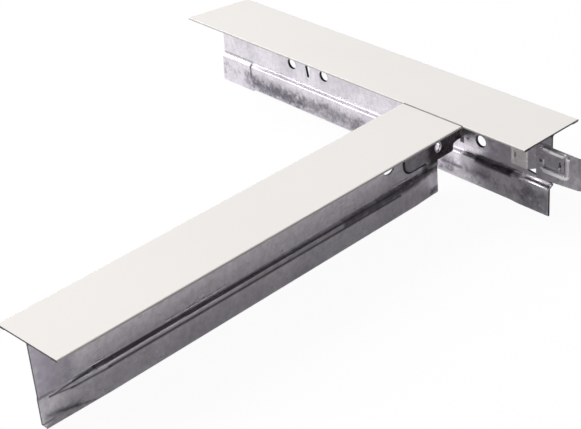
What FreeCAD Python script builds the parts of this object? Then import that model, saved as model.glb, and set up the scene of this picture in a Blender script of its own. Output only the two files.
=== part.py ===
import FreeCAD, Part
import math
import os
from collections import namedtuple

# Exposed ceiling grid: a main tee with one cross tee clipped into its side.
# Millimetres. X runs along the main tee and the cross tee leaves it towards -Y.
# Z = 0 is the white face that shows in the room, and the webs hang below it.

# Strip and section sizes shared by both tees
FACE_WIDTH = 24.0
CAP_GAUGE = 0.22
STRIP_GAUGE = 0.35
HEM_WIDTH = 2.6
HEM_RADIUS = 0.36
ROOT_RADIUS = 0.60
LEDGE_DEPTH = 17.1
LEDGE_FALL = 0.45
NECK_RISE = 0.6
NECK_RADIUS = 0.45
FOOT_DEPTH = 27.0
BULB_WIDTH = 3.8
SHOULDER_RADIUS = 0.6
BULB_FOOT_RADIUS = 0.6
PINCHED_FOOT_DEPTH = 28.0
PINCHED_RADIUS = 0.12
CREASE_FALL = 1.2
HOLLOW_TAIL = 0.12
HOLLOW_RADIUS = 0.02

# Main tee
MAIN_LEFT_LENGTH = 115.0
MAIN_RIGHT_LENGTH = 35.4
MAIN_WEB_REACH = 0.15
MAIN_BLADE_REACH = 0.5
LEFT_CUT_SKEW = 2.7
RIGHT_CUT_SKEW = -0.3
LEFT_WEB_TOP_SETBACK = 2.3
LEFT_WEB_FOOT_REACH = 0.1
LEFT_FOOT_CORNER = 0.3
LEFT_PINCH_LENGTH = 16.2
LEFT_PINCH_RUN = 1.2
LEFT_PINCH_OFFSET = -0.9
RIGHT_PINCH_LENGTH = 11.8
RIGHT_PINCH_RUN = 3.0
RIGHT_PINCH_OFFSET = -1.55
RIGHT_PINCH_FALL = 0.7

# Punched modules in the main web: hole, slot, hole
HANGER_HOLE_DIAMETER = 4.0
JOINT_HOLE_SPACING = 8.8
JOINT_HOLE_DEPTH = 11.6
FREE_SLOT_PLACE = -68.75
FREE_HOLE_SPACING = 8.0
FREE_HOLE_DEPTH = 10.7
SLOT_TOP_DEPTH = 5.6
SLOT_FOOT_DEPTH = 13.6
SLOT_TOP_WIDTH = 3.4
SLOT_FOOT_WIDTH = 1.0
SLOT_FOOT_RADIUS = 0.35

# Cross tee
CROSS_LENGTH = 157.6
CROSS_CUT_SKEW = 0.86
CROSS_WEB_TOP_SETBACK = 0.1
CROSS_WEB_FOOT_REACH = 1.0
CROSS_FOOT_CORNER = 0.9
BUTT_GAP = 0.30
CROSS_WEB_FAR = 10.8
CROSS_FAR_PINCH_RUN = 10.0
CROSS_NEAR_PINCH_RUN = 17.0
CROSS_PINCH_LAND = 2.0
CROSS_PINCH_OFFSET = -0.3
CROSS_HOLE_DIAMETER = 5.2
CROSS_HOLE_DEPTH = 9.2
CROSS_HOLE_PLACE = 31.9
FOLD_LENGTH = 12.0
FOLD_DEPTH = 26.0
FOLD_RISE = 0.9
FOLD_WIDTH = 0.5
FOLD_SINK = 0.2

# Cross end clip, one bent plate
CLIP_GAUGE = 0.50
CLIP_POCKET_DEPTH = 0.20
CLIP_POCKET_MARGIN = 0.75
CLIP_TAIL = 25.4
CLIP_TAIL_TOP = 4.6
CLIP_TAIL_FOOT = 14.9
CLIP_TAIL_RADIUS = 3.0
CLIP_JOGGLE_PLACE = 15.8
CLIP_JOGGLE_RUN = 1.2
CLIP_BLADE_TOP = 3.2
CLIP_BLADE_FOOT = 16.4
CLIP_SHOULDER = 3.7
CLIP_NOSE_REACH = 4.6
CLIP_NOSE_TOP = 6.6
CLIP_NOSE_CLEARANCE = 0.2
CLIP_NOSE_CHAMFER = 2.0
CLIP_WINDOW_PLACE = 10.4
CLIP_WINDOW_DEPTH = 12.0
CLIP_WINDOW_WIDTH = 2.2
CLIP_WINDOW_HEIGHT = 2.8
CLIP_EDGE_GAP = 0.15
LOCK_TAB_LENGTH = 2.6
LOCK_TAB_HEIGHT = 3.0
LOCK_TAB_LIFT = 1.2

# Splice clip. Its places, and the seat's, count along X from the main tee's right end.
SPLICE_START = -5.0
SPLICE_BEND = 10.2
SPLICE_LEAD = 2.2
SPLICE_LEAD_ANGLE = 22.0
SPLICE_TOP_LEFT = 4.0
SPLICE_TOP_RIGHT = 4.3
SPLICE_FOOT_LEFT = 15.9
SPLICE_FOOT_RIGHT = 14.7
SPLICE_CORNER = 0.8
BEAD_RADIUS = 0.50
BEAD_START = -3.0
BEAD_END = 6.3
BEAD_TOP_DEPTH = 5.0
BEAD_FOOT_DEPTH = 12.0
STAKE_DIAMETER = 1.8
STAKE_PLACE = -3.5
STAKE_DEPTH = 9.2
STAKE_HEAD = 0.25
LANCE_WIDTH = 0.5
LANCE_HEIGHT = 2.2
LANCE_PLACES = (-1.8, 4.0)
LANCE_DEPTH = 9.5
LANCE_SINK = 0.35

# Splice seat pressed and cut in the main web
SEAT_START = -14.6
SEAT_END = -8.8
SEAT_TOP_DEPTH = 4.6
SEAT_FOOT_DEPTH = 14.4
SEAT_RISE = 0.35
SEAT_SLOPE = 1.0
SEAT_NICK_PLACE = -13.0
SEAT_NICK_DEPTH = 11.0
SEAT_NICK_WIDTH = 0.5
SEAT_NICK_HEIGHT = 1.8
RELIEF_APEX_DEPTH = 14.9
RELIEF_OPEN_TOP = 10.6
RELIEF_OPEN_FOOT = 16.3

# Values that follow from the sizes above
HALF_FACE = FACE_WIDTH / 2
WEB_GAUGE = 2 * STRIP_GAUGE
HALF_WEB = WEB_GAUGE / 2
HALF_BULB = BULB_WIDTH / 2
FLANGE_TOP = -CAP_GAUGE
FLANGE_FOOT = FLANGE_TOP - STRIP_GAUGE
HEM_FOOT = FLANGE_FOOT - CAP_GAUGE
HALF_FLANGE = HALF_FACE - CAP_GAUGE
NECK_DEPTH = LEDGE_DEPTH - NECK_RISE
MAIN_WEB_END = MAIN_RIGHT_LENGTH + MAIN_WEB_REACH
MAIN_BLADE_END = MAIN_RIGHT_LENGTH + MAIN_BLADE_REACH
LEFT_WEB_TOP = MAIN_LEFT_LENGTH - LEFT_WEB_TOP_SETBACK
LEFT_WEB_FOOT = MAIN_LEFT_LENGTH + LEFT_WEB_FOOT_REACH
CROSS_WEB_TOP = CROSS_LENGTH - CROSS_WEB_TOP_SETBACK
CROSS_WEB_FOOT = CROSS_LENGTH + CROSS_WEB_FOOT_REACH
SEAT_LEFT = MAIN_RIGHT_LENGTH + SEAT_START
SEAT_RIGHT = MAIN_RIGHT_LENGTH + SEAT_END
OVERRUN = 5.0
STRAIGHT_ANGLE = math.radians(89.5)


def rounded_wire(corners, place):
    """Close a polygon of (u, v, radius) corners with an arc at each rounded corner."""
    edges = []
    count = len(corners)
    starts = []
    ends = []
    middles = []
    for index, (u, v, radius) in enumerate(corners):
        corner = FreeCAD.Vector(u, v, 0)
        before = FreeCAD.Vector(*corners[index - 1][:2], 0) - corner
        after = FreeCAD.Vector(*corners[(index + 1) % count][:2], 0) - corner
        before.normalize()
        after.normalize()
        if radius <= 0:
            starts.append(corner)
            ends.append(corner)
            middles.append(None)
            continue
        half_angle = before.getAngle(after) / 2
        if half_angle > STRAIGHT_ANGLE:
            starts.append(corner + before * radius)
            ends.append(corner + after * radius)
            middles.append(None)
            continue
        reach = radius / math.tan(half_angle)
        bisector = before + after
        bisector.normalize()
        centre = corner + bisector * (radius / math.sin(half_angle))
        starts.append(corner + before * reach)
        ends.append(corner + after * reach)
        middles.append(centre - bisector * radius)
    for index in range(count):
        if middles[index] is not None:
            arc = Part.Arc(place(starts[index]), place(middles[index]), place(ends[index]))
            edges.append(arc.toShape())
        elif starts[index] != ends[index]:
            edges.append(Part.makeLine(place(starts[index]), place(ends[index])))
        edges.append(Part.makeLine(place(ends[index]), place(starts[(index + 1) % count])))
    return Part.Wire(edges)


def across_main(x):
    """Place a (y, z) section of the main tee at x."""
    return lambda point: FreeCAD.Vector(x, point.x, point.y)


def across_cross(distance):
    """Place a section of the cross tee, (x, z), at a distance from the main web."""
    return lambda point: FreeCAD.Vector(point.x, -distance, point.y)


def side_of_main(y):
    """Place an (x, z) outline on a plane along the main tee."""
    return lambda point: FreeCAD.Vector(point.x, y, point.y)


def side_of_cross(x):
    """Place a (distance, z) outline on a plane along the cross tee."""
    return lambda point: FreeCAD.Vector(x, -point.x, point.y)


def plan(z):
    """Place an (x, y) outline at a height."""
    return lambda point: FreeCAD.Vector(point.x, point.y, z)


def plan_towards_left(point):
    """Place a (length, y) outline above the face, its length counted along -X."""
    return FreeCAD.Vector(-point.x, point.y, OVERRUN)


def plan_towards_right(point):
    """Place a (length, y) outline above the face, its length counted along +X."""
    return FreeCAD.Vector(point.x, point.y, OVERRUN)


def plan_towards_near(point):
    """Place a (length, x) outline above the face, its length counted along -Y."""
    return FreeCAD.Vector(point.y, -point.x, OVERRUN)


def side_towards_left(point):
    """Place a (length, z) outline beside the main tee, its length counted along -X."""
    return FreeCAD.Vector(-point.x, -HALF_FACE, point.y)


def prism(corners, place, travel):
    """Extrude a rounded polygon."""
    return Part.Face(rounded_wire(corners, place)).extrude(FreeCAD.Vector(*travel))


def sharp(*points):
    """Corners without a radius."""
    return [(u, v, 0) for u, v in points]


def t_section():
    """Flange and web of the folded strip, mirrored about the web's middle."""
    right = [
        (HALF_FLANGE, FLANGE_TOP, 0),
        (HALF_FLANGE, FLANGE_FOOT, 0),
        (HALF_WEB, FLANGE_FOOT, ROOT_RADIUS),
        (HALF_WEB, -NECK_DEPTH, 0),
    ]
    left = [(-u, v, radius) for u, v, radius in reversed(right)]
    return right + left


def cap_section():
    """Painted strip: the visible face and the two hems that hold it on the flange."""
    right = [
        (HALF_FACE, 0, HEM_RADIUS),
        (HALF_FACE, HEM_FOOT, HEM_RADIUS),
        (HALF_FACE - HEM_WIDTH, HEM_FOOT, 0),
        (HALF_FACE - HEM_WIDTH, FLANGE_FOOT, 0),
        (HALF_FLANGE, FLANGE_FOOT, 0),
        (HALF_FLANGE, FLANGE_TOP, 0),
    ]
    left = [(-u, v, radius) for u, v, radius in reversed(right)]
    return right + left


def bulb_section(low, high, fall, foot, shoulder_radius, foot_radius):
    """Outer skin of the bulb between two side walls, under the web."""
    return [
        (HALF_WEB, -NECK_DEPTH, 0),
        (HALF_WEB, -LEDGE_DEPTH, NECK_RADIUS),
        (high, -LEDGE_DEPTH - fall, shoulder_radius),
        (high, -foot, foot_radius),
        (low, -foot, foot_radius),
        (low, -LEDGE_DEPTH - fall, shoulder_radius),
        (-HALF_WEB, -LEDGE_DEPTH, NECK_RADIUS),
        (-HALF_WEB, -NECK_DEPTH, 0),
    ]


def hollow_section(middle, apex, half, shoulder, foot, shoulder_radius, foot_radius):
    """Inside of the bulb, one strip thickness in from its skin, with its apex under the web."""
    return [
        (middle, -apex, 0),
        (middle + half, -shoulder, shoulder_radius),
        (middle + half, -foot, foot_radius),
        (middle - half, -foot, foot_radius),
        (middle - half, -shoulder, shoulder_radius),
    ]


LEDGE_SLOPE = LEDGE_FALL / (HALF_BULB - HALF_WEB)
LEDGE_DROP = STRIP_GAUGE * math.hypot(1, LEDGE_SLOPE)
FULL_BULB = (-HALF_BULB, HALF_BULB, LEDGE_FALL, FOOT_DEPTH, SHOULDER_RADIUS, BULB_FOOT_RADIUS)
FULL_HOLLOW = (
    0,
    LEDGE_DEPTH + LEDGE_DROP - HALF_WEB * LEDGE_SLOPE,
    HALF_BULB - STRIP_GAUGE,
    LEDGE_DEPTH + LEDGE_DROP + LEDGE_FALL - STRIP_GAUGE * LEDGE_SLOPE,
    FOOT_DEPTH - STRIP_GAUGE,
    SHOULDER_RADIUS - STRIP_GAUGE,
    BULB_FOOT_RADIUS - STRIP_GAUGE,
)


# One pinched end of a bulb: flat for its land from the cut, then opening out over its run
Pinch = namedtuple("Pinch", "end land run offset fall foot")


def pinched_bulb(pinch):
    """Bulb pressed flat to two strips at an offset from the web's middle."""
    low = pinch.offset - HALF_WEB
    high = pinch.offset + HALF_WEB
    return (low, high, pinch.fall, pinch.foot, PINCHED_RADIUS, PINCHED_RADIUS)


def hollow_tail(pinch):
    """Last sliver of the hollow where the two side walls meet."""
    half = HOLLOW_TAIL / 2
    apex = LEDGE_DEPTH + pinch.fall + STRIP_GAUGE
    return (pinch.offset, apex, half, apex + half, pinch.foot - STRIP_GAUGE, HOLLOW_RADIUS, HOLLOW_RADIUS)


def loft(first, second, section, place, ends):
    """Ruled solid between two sections of the same kind."""
    wires = [rounded_wire(section(*values), place(end)) for values, end in zip((first, second), ends)]
    return Part.makeLoft(wires, True, True)


def bulb(place, first, second):
    """Bulb of a tee with both ends pinched flat by the shears."""
    first_flat = first.end + first.land
    first_full = first_flat + first.run
    second_flat = second.end - second.land
    second_full = second_flat - second.run
    first_blade = pinched_bulb(first)
    second_blade = pinched_bulb(second)
    skin = [
        loft(first_blade, first_blade, bulb_section, place, (first.end, first_flat)),
        loft(first_blade, FULL_BULB, bulb_section, place, (first_flat, first_full)),
        loft(FULL_BULB, FULL_BULB, bulb_section, place, (first_full, second_full)),
        loft(FULL_BULB, second_blade, bulb_section, place, (second_full, second_flat)),
        loft(second_blade, second_blade, bulb_section, place, (second_flat, second.end)),
    ]
    hollow = [
        loft(hollow_tail(first), FULL_HOLLOW, hollow_section, place, (first_flat, first_full)),
        loft(FULL_HOLLOW, FULL_HOLLOW, hollow_section, place, (first_full, second_full)),
        loft(FULL_HOLLOW, hollow_tail(second), hollow_section, place, (second_full, second_flat)),
    ]
    solid = skin[0].multiFuse(skin[1:])
    return solid.cut(hollow[0].multiFuse(hollow[1:]))


def slanting_cut(length, skew, place, foot):
    """Everything beyond a shear cut and above a height, longer by the skew on one side of the face."""
    slope = skew / HALF_FACE
    reach = HALF_FACE + OVERRUN
    beyond = length + abs(skew) + 2 * OVERRUN
    corners = sharp(
        (length + slope * reach, -reach),
        (length - slope * reach, reach),
        (beyond, reach),
        (beyond, -reach),
    )
    return prism(corners, place, (0, 0, foot - OVERRUN))


def leaning_cut(top, foot, corner, place, travel):
    """Everything beyond a web's end, which leans from its top to its foot and has its corner cut."""
    beyond = foot + 2 * OVERRUN
    corners = sharp(
        (top, FLANGE_FOOT),
        (foot, -PINCHED_FOOT_DEPTH + 2 * corner),
        (foot - corner, -PINCHED_FOOT_DEPTH),
        (foot - corner, -PINCHED_FOOT_DEPTH - OVERRUN),
        (beyond, -PINCHED_FOOT_DEPTH - OVERRUN),
        (beyond, FLANGE_FOOT),
    )
    return prism(corners, place, travel)


def left_cut(foot):
    """Shear cut across the face at the main tee's left end."""
    return slanting_cut(MAIN_LEFT_LENGTH, LEFT_CUT_SKEW, plan_towards_left, foot)


def right_cut(foot):
    """Shear cut across the face at the main tee's right end."""
    return slanting_cut(MAIN_RIGHT_LENGTH, RIGHT_CUT_SKEW, plan_towards_right, foot)


def cross_cut(foot):
    """Shear cut across the face at the cross tee's near end."""
    return slanting_cut(CROSS_LENGTH, CROSS_CUT_SKEW, plan_towards_near, foot)


def round_cutter(place_x, depth, diameter):
    """Drill through the main web."""
    start = FreeCAD.Vector(place_x, -OVERRUN, -depth)
    return Part.makeCylinder(diameter / 2, 2 * OVERRUN, start, FreeCAD.Vector(0, 1, 0))


def slot_cutter(place_x):
    """Slot that takes a cross tee's clip, wider at its top."""
    half_top = SLOT_TOP_WIDTH / 2
    half_foot = SLOT_FOOT_WIDTH / 2
    corners = [
        (place_x + half_top, -SLOT_TOP_DEPTH, 0),
        (place_x + half_foot, -SLOT_FOOT_DEPTH, SLOT_FOOT_RADIUS),
        (place_x - half_foot, -SLOT_FOOT_DEPTH, SLOT_FOOT_RADIUS),
        (place_x - half_top, -SLOT_TOP_DEPTH, 0),
    ]
    return prism(corners, side_of_main(-OVERRUN), (0, 2 * OVERRUN, 0))


def upright_window(place_x, depth, width, height, start_y, travel):
    """Small upright opening with round ends."""
    half = width / 2
    top = -depth + height / 2
    foot = -depth - height / 2
    radius = half * 0.98
    corners = [
        (place_x + half, top, radius),
        (place_x + half, foot, radius),
        (place_x - half, foot, radius),
        (place_x - half, top, radius),
    ]
    return prism(corners, side_of_main(start_y), (0, travel, 0))


def splice_seat():
    """Pressed pad beside the splice clip, ramped at its left end."""
    web = -HALF_WEB
    pad = web - SEAT_RISE
    corners = sharp((SEAT_LEFT, web), (SEAT_RIGHT, web), (SEAT_RIGHT, pad), (SEAT_LEFT + SEAT_SLOPE, pad))
    return prism(corners, plan(-SEAT_TOP_DEPTH), (0, 0, SEAT_TOP_DEPTH - SEAT_FOOT_DEPTH))


def splice_relief():
    """Wedge cut from the web's end, so that the bulb's ledge stays clear of the next tee."""
    end = MAIN_WEB_END + OVERRUN
    rise = (RELIEF_APEX_DEPTH - RELIEF_OPEN_TOP) / (MAIN_WEB_END - SEAT_RIGHT)
    fall = (RELIEF_OPEN_FOOT - RELIEF_APEX_DEPTH) / (MAIN_WEB_END - SEAT_RIGHT)
    run = end - SEAT_RIGHT
    corners = sharp(
        (SEAT_RIGHT, -RELIEF_APEX_DEPTH),
        (end, -RELIEF_APEX_DEPTH + rise * run),
        (end, -RELIEF_APEX_DEPTH - fall * run),
    )
    return prism(corners, side_of_main(-OVERRUN), (0, 2 * OVERRUN, 0))


def make_main_web():
    """Galvanised strip of the main tee: flange, double web and bulb."""
    start = -MAIN_LEFT_LENGTH - LEFT_CUT_SKEW - OVERRUN
    end = MAIN_RIGHT_LENGTH + OVERRUN
    flange = prism(t_section(), across_main(start), (end - start, 0, 0))
    flange = flange.cut(left_cut(FLANGE_FOOT)).cut(right_cut(FLANGE_FOOT))
    beyond_web_corner = FreeCAD.Vector(MAIN_WEB_END, -HALF_FACE, FLANGE_FOOT - PINCHED_FOOT_DEPTH)
    beyond_web = Part.makeBox(2 * OVERRUN, FACE_WIDTH, PINCHED_FOOT_DEPTH, beyond_web_corner)
    left_land = LEFT_PINCH_LENGTH - MAIN_LEFT_LENGTH - start
    left = Pinch(start, left_land, LEFT_PINCH_RUN, LEFT_PINCH_OFFSET, CREASE_FALL, PINCHED_FOOT_DEPTH)
    right = Pinch(
        MAIN_BLADE_END, RIGHT_PINCH_LENGTH, RIGHT_PINCH_RUN, RIGHT_PINCH_OFFSET, RIGHT_PINCH_FALL, FOOT_DEPTH
    )
    solid = flange.cut(beyond_web).multiFuse([bulb(across_main, left, right), splice_seat()])
    leaning = leaning_cut(
        LEFT_WEB_TOP, LEFT_WEB_FOOT, LEFT_FOOT_CORNER, side_towards_left, (0, FACE_WIDTH, 0)
    )
    cutters = [leaning, splice_relief()]
    cutters.append(round_cutter(MAIN_RIGHT_LENGTH + STAKE_PLACE, STAKE_DEPTH, STAKE_DIAMETER))
    nick_x = MAIN_RIGHT_LENGTH + SEAT_NICK_PLACE
    cutters.append(
        upright_window(nick_x, SEAT_NICK_DEPTH, SEAT_NICK_WIDTH, SEAT_NICK_HEIGHT, -OVERRUN, 2 * OVERRUN)
    )
    modules = (
        (0, JOINT_HOLE_SPACING, JOINT_HOLE_DEPTH),
        (FREE_SLOT_PLACE, FREE_HOLE_SPACING, FREE_HOLE_DEPTH),
    )
    for middle, spacing, depth in modules:
        cutters.append(slot_cutter(middle))
        for side in (-1, 1):
            cutters.append(round_cutter(middle + side * spacing, depth, HANGER_HOLE_DIAMETER))
    for cutter in cutters:
        solid = solid.cut(cutter)
    return solid.removeSplitter()


def make_main_cap():
    """Painted strip of the main tee."""
    start = -MAIN_LEFT_LENGTH - LEFT_CUT_SKEW - OVERRUN
    end = MAIN_RIGHT_LENGTH + OVERRUN
    cap = prism(cap_section(), across_main(start), (end - start, 0, 0))
    below = HEM_FOOT - OVERRUN
    return cap.cut(left_cut(below)).cut(right_cut(below))


def fold_groove():
    """Fold line pressed beside the cross tee's near foot, fading out along the bulb."""
    blade_side = HALF_WEB + CROSS_PINCH_OFFSET
    flat = CROSS_LENGTH - CROSS_PINCH_LAND
    start = CROSS_LENGTH - FOLD_LENGTH
    start_side = blade_side + (HALF_BULB - blade_side) * (flat - start) / CROSS_NEAR_PINCH_RUN
    end = CROSS_LENGTH + CROSS_CUT_SKEW + OVERRUN
    start_z = -FOLD_DEPTH + FOLD_RISE
    half = FOLD_WIDTH / 2

    def groove_wire(distance, side, middle):
        outer = side + FOLD_SINK
        corners = sharp((outer, middle + 2 * half), (side - FOLD_SINK, middle), (outer, middle - 2 * half))
        return rounded_wire(corners, across_cross(distance))

    fading = groove_wire(start, start_side + FOLD_SINK, start_z)
    sunk = groove_wire(flat, blade_side, -FOLD_DEPTH)
    cut = groove_wire(end, blade_side, -FOLD_DEPTH)
    return Part.makeLoft([fading, sunk], True, True).fuse(Part.makeLoft([sunk, cut], True, True))


def clip_pocket():
    """Shallow pocket pressed in the web's side, wider all round than the clip's tail."""
    near = CLIP_TAIL + CLIP_POCKET_MARGIN
    top = CLIP_POCKET_MARGIN - CLIP_TAIL_TOP
    foot = -CLIP_TAIL_FOOT - CLIP_POCKET_MARGIN
    radius = CLIP_TAIL_RADIUS + CLIP_POCKET_MARGIN
    corners = [
        (CLIP_JOGGLE_PLACE, top, 0),
        (near, top, radius),
        (near, foot, radius),
        (CLIP_JOGGLE_PLACE, foot, 0),
    ]
    return prism(corners, side_of_cross(HALF_WEB - CLIP_POCKET_DEPTH), (HALF_FACE, 0, 0))


def make_cross_web():
    """Galvanised strip of the cross tee, notched at its far end for the clip."""
    flange_start = HALF_FACE + BUTT_GAP
    end = CROSS_LENGTH + CROSS_CUT_SKEW + OVERRUN
    upper = prism(t_section(), across_cross(end), (0, end - flange_start, 0)).cut(cross_cut(FLANGE_FOOT))
    pressed = (CROSS_PINCH_OFFSET, CREASE_FALL, PINCHED_FOOT_DEPTH)
    far = Pinch(CROSS_WEB_FAR, CROSS_PINCH_LAND, CROSS_FAR_PINCH_RUN, *pressed)
    near = Pinch(end, CROSS_PINCH_LAND + end - CROSS_LENGTH, CROSS_NEAR_PINCH_RUN, *pressed)
    lower = bulb(across_cross, far, near)
    solid = upper.fuse(lower)
    notch_end = CLIP_JOGGLE_PLACE + CLIP_EDGE_GAP
    notch_foot = -CLIP_BLADE_FOOT - CLIP_EDGE_GAP
    notch_corners = sharp(
        (0, FLANGE_FOOT),
        (notch_end, FLANGE_FOOT),
        (notch_end, -CLIP_TAIL_FOOT - CLIP_EDGE_GAP),
        (notch_end - CLIP_JOGGLE_RUN, notch_foot),
        (0, notch_foot),
    )
    notch = prism(notch_corners, side_of_cross(-HALF_FACE), (FACE_WIDTH, 0, 0))
    hole_start = FreeCAD.Vector(-OVERRUN, -CROSS_HOLE_PLACE, -CROSS_HOLE_DEPTH)
    hole = Part.makeCylinder(CROSS_HOLE_DIAMETER / 2, 2 * OVERRUN, hole_start, FreeCAD.Vector(1, 0, 0))
    leaning = leaning_cut(
        CROSS_WEB_TOP, CROSS_WEB_FOOT, CROSS_FOOT_CORNER, side_of_cross(-HALF_FACE), (FACE_WIDTH, 0, 0)
    )
    for cutter in (notch, clip_pocket(), hole, fold_groove(), leaning):
        solid = solid.cut(cutter)
    return solid.removeSplitter()


def make_cross_cap():
    """Painted strip of the cross tee."""
    flange_start = HALF_FACE + BUTT_GAP
    end = CROSS_LENGTH + CROSS_CUT_SKEW + OVERRUN
    cap = prism(cap_section(), across_cross(end), (0, end - flange_start, 0))
    return cap.cut(cross_cut(HEM_FOOT - OVERRUN))


def make_cross_clip():
    """Bent plate: tail on the web's side, joggle, blade, and nose through the main slot."""
    seat = HALF_WEB - CLIP_POCKET_DEPTH
    outer = seat + CLIP_GAUGE
    half = CLIP_GAUGE / 2
    bend_start = CLIP_JOGGLE_PLACE
    bend_end = CLIP_JOGGLE_PLACE - CLIP_JOGGLE_RUN
    tip = -CLIP_NOSE_REACH
    folded = prism(
        sharp(
            (seat, -CLIP_TAIL),
            (outer, -CLIP_TAIL),
            (outer, -bend_start),
            (half, -bend_end),
            (half, -tip),
            (-half, -tip),
            (-half, -bend_end),
            (seat, -bend_start),
        ),
        plan(0),
        (0, 0, -PINCHED_FOOT_DEPTH),
    )
    nose_foot = SLOT_FOOT_DEPTH - CLIP_NOSE_CLEARANCE
    outline = [
        (CLIP_TAIL, -CLIP_TAIL_TOP, CLIP_TAIL_RADIUS),
        (CLIP_TAIL, -CLIP_TAIL_FOOT, CLIP_TAIL_RADIUS),
        (bend_start, -CLIP_TAIL_FOOT, 0),
        (bend_end, -CLIP_BLADE_FOOT, 0),
        (CLIP_SHOULDER, -CLIP_BLADE_FOOT, 0.4),
        (CLIP_SHOULDER - 0.4, -nose_foot - 0.5, 0.3),
        (0.6, -nose_foot, 0),
        (tip + CLIP_NOSE_CHAMFER, -nose_foot, 0.3),
        (tip, -nose_foot + CLIP_NOSE_CHAMFER, 0.3),
        (tip, -CLIP_NOSE_TOP - CLIP_NOSE_CHAMFER, 0.3),
        (tip + CLIP_NOSE_CHAMFER, -CLIP_NOSE_TOP, 0.3),
        (CLIP_SHOULDER, -CLIP_NOSE_TOP, 0.3),
        (CLIP_SHOULDER, -CLIP_BLADE_TOP, 0.4),
        (bend_end, -CLIP_BLADE_TOP, 0),
        (bend_start, -CLIP_TAIL_TOP, 0),
    ]
    clip = folded.common(prism(outline, side_of_cross(-OVERRUN), (2 * OVERRUN, 0, 0)))
    window_half = CLIP_WINDOW_WIDTH / 2
    window_top = -CLIP_WINDOW_DEPTH + CLIP_WINDOW_HEIGHT / 2
    window_foot = -CLIP_WINDOW_DEPTH - CLIP_WINDOW_HEIGHT / 2
    window = prism(
        [
            (CLIP_WINDOW_PLACE - window_half, window_top, window_half * 0.9),
            (CLIP_WINDOW_PLACE - window_half, window_foot, window_half * 0.9),
            (CLIP_WINDOW_PLACE + window_half, window_foot, window_half * 0.9),
            (CLIP_WINDOW_PLACE + window_half, window_top, window_half * 0.9),
        ],
        side_of_cross(-OVERRUN),
        (2 * OVERRUN, 0, 0),
    )
    tab_start = HALF_WEB + CLIP_EDGE_GAP
    tab_middle = -(SLOT_TOP_DEPTH + SLOT_FOOT_DEPTH) / 2
    tab = prism(
        sharp((half, tab_start), (half + LOCK_TAB_LIFT, tab_start), (half, tab_start + LOCK_TAB_LENGTH)),
        plan(tab_middle + LOCK_TAB_HEIGHT / 2),
        (0, 0, -LOCK_TAB_HEIGHT),
    )
    return clip.cut(window).fuse(tab).removeSplitter()


def half_bead(start, end, outward):
    """Half-round bead on the splice clip's outer side, with a dome at each end."""
    axis = end - start
    bead = Part.makeCylinder(BEAD_RADIUS, axis.Length, start, axis)
    for point in (start, end):
        dome = Part.makeSphere(BEAD_RADIUS, point)
        bead = bead.fuse(dome)
    keep = Part.makeBox(200, BEAD_RADIUS * 2, 60, FreeCAD.Vector(-50, outward - BEAD_RADIUS * 2, -60))
    return bead.common(keep)


def make_splice_clip():
    """Embossed plate that joins the next main tee, with a bent lead-in."""
    inner = -HALF_WEB
    outer = inner - CLIP_GAUGE
    turn = math.radians(SPLICE_LEAD_ANGLE)
    lead_y = SPLICE_LEAD * math.sin(turn)
    left = MAIN_RIGHT_LENGTH + SPLICE_START
    bend = MAIN_RIGHT_LENGTH + SPLICE_BEND
    tip = bend + SPLICE_LEAD * math.cos(turn)
    folded = prism(
        sharp(
            (left, inner),
            (bend, inner),
            (tip, inner + lead_y),
            (tip, inner + lead_y - CLIP_GAUGE / math.cos(turn)),
            (bend, outer),
            (left, outer),
        ),
        plan(0),
        (0, 0, -PINCHED_FOOT_DEPTH),
    )
    outline = [
        (left, -SPLICE_TOP_LEFT, SPLICE_CORNER / 2),
        (tip, -SPLICE_TOP_RIGHT, SPLICE_CORNER),
        (tip, -SPLICE_FOOT_RIGHT, SPLICE_CORNER),
        (left, -SPLICE_FOOT_LEFT, SPLICE_CORNER / 2),
    ]
    clip = folded.common(prism(outline, side_of_main(-OVERRUN), (0, 2 * OVERRUN, 0)))
    bead_left = MAIN_RIGHT_LENGTH + BEAD_START
    bead_right = MAIN_RIGHT_LENGTH + BEAD_END
    corners = [
        FreeCAD.Vector(bead_left, outer, -BEAD_TOP_DEPTH),
        FreeCAD.Vector(bead_right, outer, -BEAD_TOP_DEPTH),
        FreeCAD.Vector(bead_right, outer, -BEAD_FOOT_DEPTH),
        FreeCAD.Vector(bead_left, outer, -BEAD_FOOT_DEPTH),
    ]
    beads = [half_bead(corners[index], corners[index + 1], outer) for index in range(3)]
    start = FreeCAD.Vector(MAIN_RIGHT_LENGTH + STAKE_PLACE, outer - STAKE_HEAD, -STAKE_DEPTH)
    length = HALF_WEB - outer + STAKE_HEAD
    stake = Part.makeCylinder(STAKE_DIAMETER / 2, length, start, FreeCAD.Vector(0, 1, 0))
    clip = clip.multiFuse(beads + [stake])
    for place in LANCE_PLACES:
        lance_x = MAIN_RIGHT_LENGTH + place
        lance = upright_window(
            lance_x, LANCE_DEPTH, LANCE_WIDTH, LANCE_HEIGHT, outer - OVERRUN, OVERRUN + LANCE_SINK
        )
        clip = clip.cut(lance)
    return clip.removeSplitter()


NODES = {
    "main_tee_web": make_main_web,
    "main_tee_cap": make_main_cap,
    "main_splice_clip": make_splice_clip,
    "cross_tee_web": make_cross_web,
    "cross_tee_cap": make_cross_cap,
    "cross_end_clip": make_cross_clip,
}

os.makedirs("parts", exist_ok=True)
for node, make in NODES.items():
    shape = make()
    shape.exportStep(f"parts/{node}.step")
    box = shape.BoundBox
    print(node, "solids", len(shape.Solids), "valid", shape.isValid(), "volume", round(shape.Volume, 2))
    print(f"  x {box.XMin:.2f} {box.XMax:.2f}  y {box.YMin:.2f} {box.YMax:.2f}  z {box.ZMin:.2f} {box.ZMax:.2f}")
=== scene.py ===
"""Looks of the ceiling grid tee: a main tee with one cross tee clipped into its side."""

import logging
import math
from collections.abc import Mapping, Sequence
from dataclasses import dataclass
from enum import Enum

import bmesh
import bpy
from mathutils import Matrix, Vector


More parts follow.
